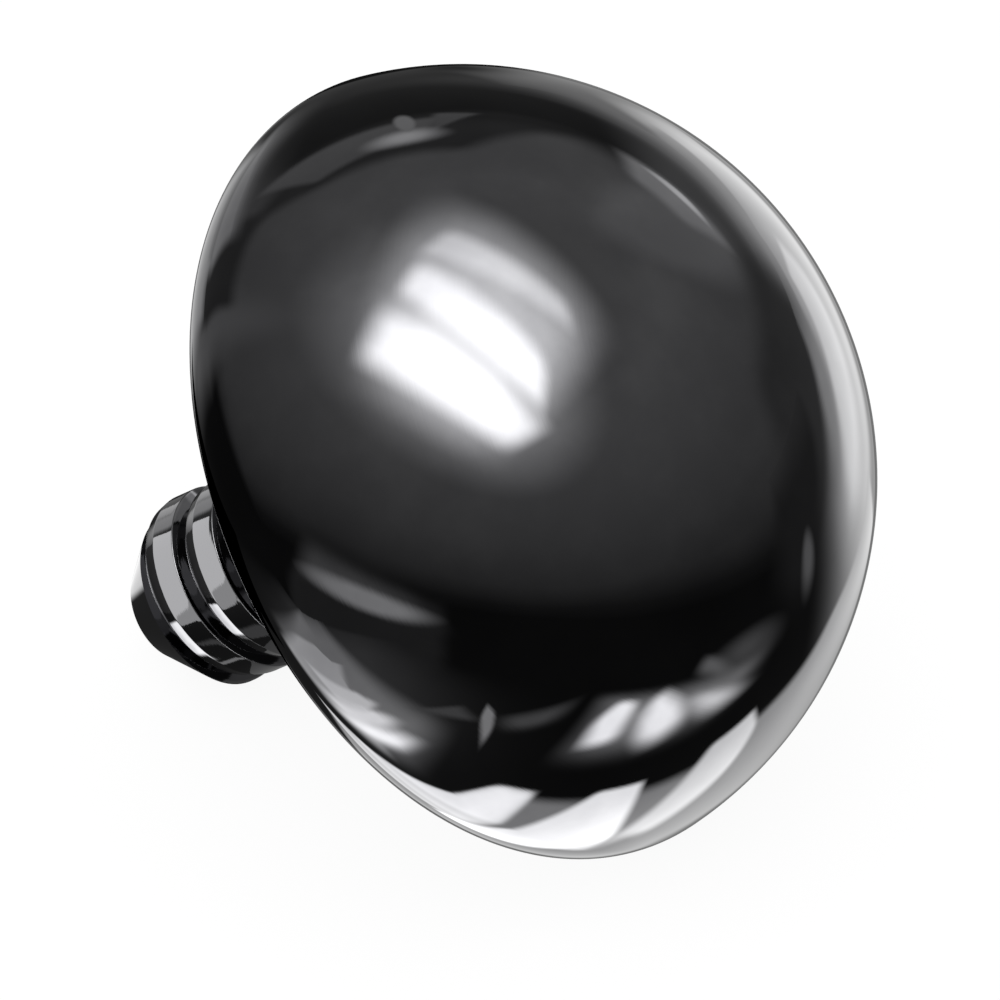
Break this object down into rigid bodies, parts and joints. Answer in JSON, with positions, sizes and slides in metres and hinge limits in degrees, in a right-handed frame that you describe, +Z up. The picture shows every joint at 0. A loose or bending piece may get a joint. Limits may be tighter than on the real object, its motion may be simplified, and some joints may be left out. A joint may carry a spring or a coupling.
{
  "type": "threaded piercing end",
  "caption": "Mirror-black domed end with a short threaded post, which screws into an internally threaded body jewel.",
  "frame": {"origin": "on the surface that the part lies on, under the middle of the box that it fills", "axes": "+Z up from that surface; the post lies in the XZ plane, and its axis rises from the tip at -X to the crown of the dome at +X, 39.6 degrees over the surface; +Y across"},
  "size_m": [0.0046, 0.005, 0.0044],
  "materials": {
    "head_black": "black vapour coating on mirror-polished steel",
    "post_black": "black vapour coating on bright turned steel, paler on the thread's crests"
  },
  "bodies": {
    "root": {"domed_head": "head_black", "threaded_post": "post_black"}
  },
  "joints": []
}
